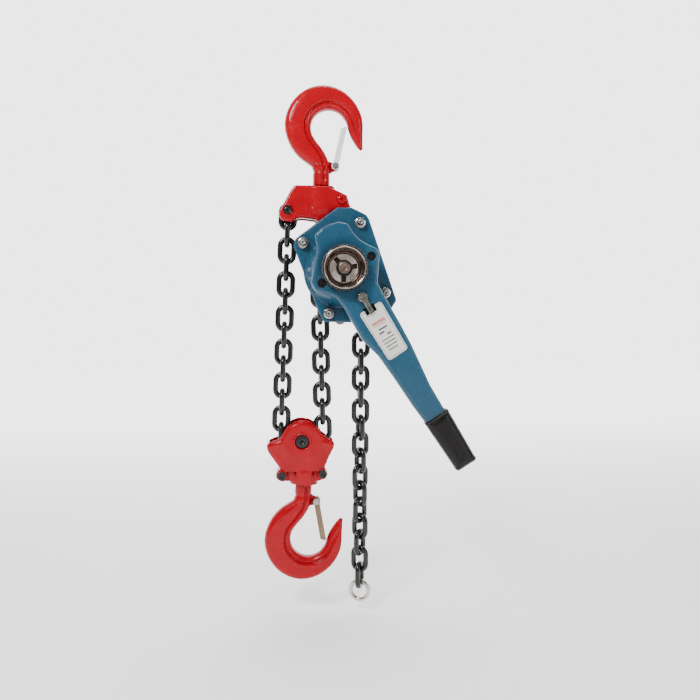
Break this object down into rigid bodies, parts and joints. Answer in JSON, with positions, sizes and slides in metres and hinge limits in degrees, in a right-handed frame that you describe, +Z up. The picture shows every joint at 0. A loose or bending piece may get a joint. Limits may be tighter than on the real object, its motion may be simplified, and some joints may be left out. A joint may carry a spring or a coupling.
{
  "type": "come along winch",
  "caption": "Two-fall chain lever hoist: latched swivel hooks, side-plate frame, ratchet lever with grip, hand wheel, load chain and bottom block.",
  "frame": {"origin": "the saddle of the top hook: the highest point inside its bowl, on the hook's centre plane", "axes": "+Z up along the hanging load line, +X to the right as seen from the lever side, +Y away from the lever side; the lever and hand wheel are on the -Y side"},
  "size_m": [0.3654, 0.168, 0.9301],
  "materials": {
    "red_forging": "gloss red paint over a forging",
    "hook_nut_steel": "machined",
    "latch_sheet": "bright zinc plate",
    "latch_pin_steel": "machined",
    "spring_steel": "drawn wire",
    "yoke_red": "gloss red paint over a forging",
    "rivet_red": "painted over",
    "anchor_pin_black": "blackened steel",
    "frame_steel": "machined",
    "plate_blue": "blue paint",
    "stay_steel": "zinc plate",
    "nut_bright": "bright plate",
    "sheave_iron": "cast and machined",
    "gear_steel": "hobbed",
    "chain_black": "black oxide with an oil sheen",
    "cover_blue": "gloss blue paint",
    "shaft_steel": "ground",
    "brake_steel": "machined",
    "friction_lining": "bonded lining",
    "wheel_chrome": "polished plate",
    "disc_bright": "turned face",
    "lever_blue": "gloss blue paint",
    "bolt_black": "black oxide",
    "grip_rubber": "moulded rubber",
    "plate_white": "white enamel",
    "selector_bright": "bright plate",
    "ring_bright": "zinc plate",
    "block_red": "gloss red paint over a casting",
    "latch_brass": "yellow passivated sheet"
  },
  "bodies": {
    "top_hook_body": {"top_hook": "red_forging", "top_hook_nut": "hook_nut_steel", "top_latch_pin": "latch_pin_steel"},
    "top_latch_body": {"top_latch": "latch_sheet", "top_latch_spring": "spring_steel"},
    "hoist_body": {"yoke_front": "yoke_red", "yoke_rear": "yoke_red", "yoke_rivet": "rivet_red", "chain_anchor_pin": "anchor_pin_black", "frame_pins": "frame_steel", "front_side_plate": "plate_blue", "rear_side_plate": "plate_blue", "stay_bolts": "stay_steel", "cover_nuts": "nut_bright", "guide_rollers": "frame_steel", "chain_stripper": "frame_steel", "gear_plate": "gear_steel", "gear_cover": "cover_blue", "ratchet_disc": "brake_steel", "friction_discs": "friction_lining", "pawl_pins": "brake_steel", "pawl_springs": "spring_steel", "brake_cover": "cover_blue", "dead_fall_chain": "chain_black"},
    "sheave_body": {"load_sheave": "sheave_iron", "load_gear": "gear_steel", "load_wrap_chain": "chain_black"},
    "upper_gear_body": {"disc_gear_upper": "gear_steel"},
    "lower_gear_body": {"disc_gear_lower": "gear_steel"},
    "shaft_body": {"drive_shaft": "shaft_steel", "brake_hub": "brake_steel", "changeover_gear": "gear_steel", "shaft_nut": "shaft_steel", "hand_wheel_disc": "disc_bright"},
    "hand_wheel_body": {"hand_wheel": "wheel_chrome"},
    "left_pawl_body": {"pawl_left": "brake_steel"},
    "right_pawl_body": {"pawl_right": "brake_steel"},
    "lever_body": {"lever_front": "lever_blue", "lever_rear": "lever_blue", "lever_bolts": "bolt_black", "lever_grip": "grip_rubber", "name_plate": "plate_white", "changeover_pin": "brake_steel"},
    "selector_body": {"selector_lever": "selector_bright", "selector_shaft": "shaft_steel"},
    "changeover_body": {"changeover_pawl": "brake_steel"},
    "live_chain_body": {"live_fall_chain": "chain_black"},
    "free_chain_body": {"free_fall_chain": "chain_black", "end_stop_ring": "ring_bright"},
    "block_body": {"block_front_shell": "block_red", "block_rear_shell": "block_red", "idle_sheave_pin": "bolt_black", "block_bolts": "bolt_black"},
    "idle_body": {"idle_sheave": "sheave_iron", "idle_wrap_chain": "chain_black"},
    "bottom_hook_body": {"bottom_hook": "red_forging", "bottom_hook_nut": "hook_nut_steel", "bottom_latch_pin": "latch_pin_steel"},
    "bottom_latch_body": {"bottom_latch": "latch_brass", "bottom_latch_spring": "spring_steel"}
  },
  "joints": [
    {"name": "top_latch_swing", "type": "hinge", "parent": "top_hook_body", "child": "top_latch_body", "pos_m": [0.0108, 0, -0.0997], "axis": [0, 1, 0], "range_deg": [-28, 0], "stiffness_Nm_per_rad": 0.12, "springref_deg": 14.32},
    {"name": "top_hook_swivel", "type": "hinge", "parent": "top_hook_body", "child": "hoist_body", "pos_m": [-0.014, 0, -0.15], "axis": [0, 0, 1], "continuous": true},
    {"name": "hoist_travel", "type": "slide", "parent": "hoist_body", "child": "block_body", "axis": [0, 0, 1], "range_m": [-0.015, 0]},
    {"name": "idle_sheave_turn", "type": "hinge", "parent": "block_body", "child": "idle_body", "pos_m": [-0.0495, 0, -0.588], "axis": [0, 1, 0], "range_deg": [-0.1, 22.6]},
    {"name": "bottom_hook_swivel", "type": "hinge", "parent": "block_body", "child": "bottom_hook_body", "pos_m": [-0.04604, 0, -0.65599], "axis": [0.0558, 0, 0.9984], "continuous": true},
    {"name": "bottom_latch_swing", "type": "hinge", "parent": "bottom_hook_body", "child": "bottom_latch_body", "pos_m": [-0.02364, 0, -0.69961], "axis": [0, 1, 0], "range_deg": [0, 28], "stiffness_Nm_per_rad": 0.12, "springref_deg": -14.32},
    {"name": "live_fall_travel", "type": "slide", "parent": "hoist_body", "child": "live_chain_body", "axis": [-0.024, 0, 0.9997], "range_m": [-0.0301, 0.0001]},
    {"name": "free_fall_travel", "type": "slide", "parent": "hoist_body", "child": "free_chain_body", "axis": [-0.0049, 0, -1], "range_m": [-0.0301, 0.0001]},
    {"name": "load_sheave_turn", "type": "hinge", "parent": "hoist_body", "child": "sheave_body", "pos_m": [0.0195, 0, -0.288], "axis": [0, 1, 0], "range_deg": [-45.1, 0.1]},
    {"name": "upper_gear_turn", "type": "hinge", "parent": "hoist_body", "child": "upper_gear_body", "pos_m": [0.00445, 0, -0.24665], "axis": [0, 1, 0], "range_deg": [-0.2, 120.2]},
    {"name": "lower_gear_turn", "type": "hinge", "parent": "hoist_body", "child": "lower_gear_body", "pos_m": [0.03455, 0, -0.32935], "axis": [0, 1, 0], "range_deg": [-0.2, 120.2]},
    {"name": "drive_shaft_turn", "type": "hinge", "parent": "hoist_body", "child": "shaft_body", "pos_m": [0.0195, 0, -0.288], "axis": [0, 1, 0], "range_deg": [-320.5, 0.5]},
    {"name": "free_wheel_pull", "type": "slide", "parent": "shaft_body", "child": "hand_wheel_body", "axis": [0, -1, 0], "range_m": [0, 0.004]},
    {"name": "left_pawl_click", "type": "hinge", "parent": "hoist_body", "child": "left_pawl_body", "pos_m": [-0.01094, 0, -0.25758], "axis": [0, 1, 0], "range_deg": [-12, 0], "stiffness_Nm_per_rad": 0.2, "springref_deg": 11.46},
    {"name": "right_pawl_click", "type": "hinge", "parent": "hoist_body", "child": "right_pawl_body", "pos_m": [0.04994, 0, -0.31842], "axis": [0, 1, 0], "range_deg": [-12, 0], "stiffness_Nm_per_rad": 0.2, "springref_deg": 11.46},
    {"name": "lever_swing", "type": "hinge", "parent": "hoist_body", "child": "lever_body", "pos_m": [0.0195, 0, -0.288], "axis": [0, 1, 0], "continuous": true},
    {"name": "selector_turn", "type": "hinge", "parent": "lever_body", "child": "selector_body", "pos_m": [0.0726, 0, -0.37274], "axis": [0, 1, 0], "range_deg": [-14, 14]},
    {"name": "changeover_pawl_rock", "type": "hinge", "parent": "lever_body", "child": "changeover_body", "pos_m": [0.04353, 0, -0.32722], "axis": [0, 1, 0], "range_deg": [-9, 9]}
  ],
  "couplings": [
    {"joint": "live_fall_travel", "follows": "hoist_travel", "ratio": 2},
    {"joint": "free_fall_travel", "follows": "hoist_travel", "ratio": 2},
    {"joint": "load_sheave_turn", "follows": "hoist_travel", "rad_per_m": 52.36},
    {"joint": "upper_gear_turn", "follows": "hoist_travel", "rad_per_m": -139.63},
    {"joint": "lower_gear_turn", "follows": "hoist_travel", "rad_per_m": -139.63},
    {"joint": "drive_shaft_turn", "follows": "hoist_travel", "rad_per_m": 372.34},
    {"joint": "idle_sheave_turn", "follows": "hoist_travel", "rad_per_m": -26.18},
    {"joint": "changeover_pawl_rock", "follows": "selector_turn", "ratio": -0.6}
  ]
}
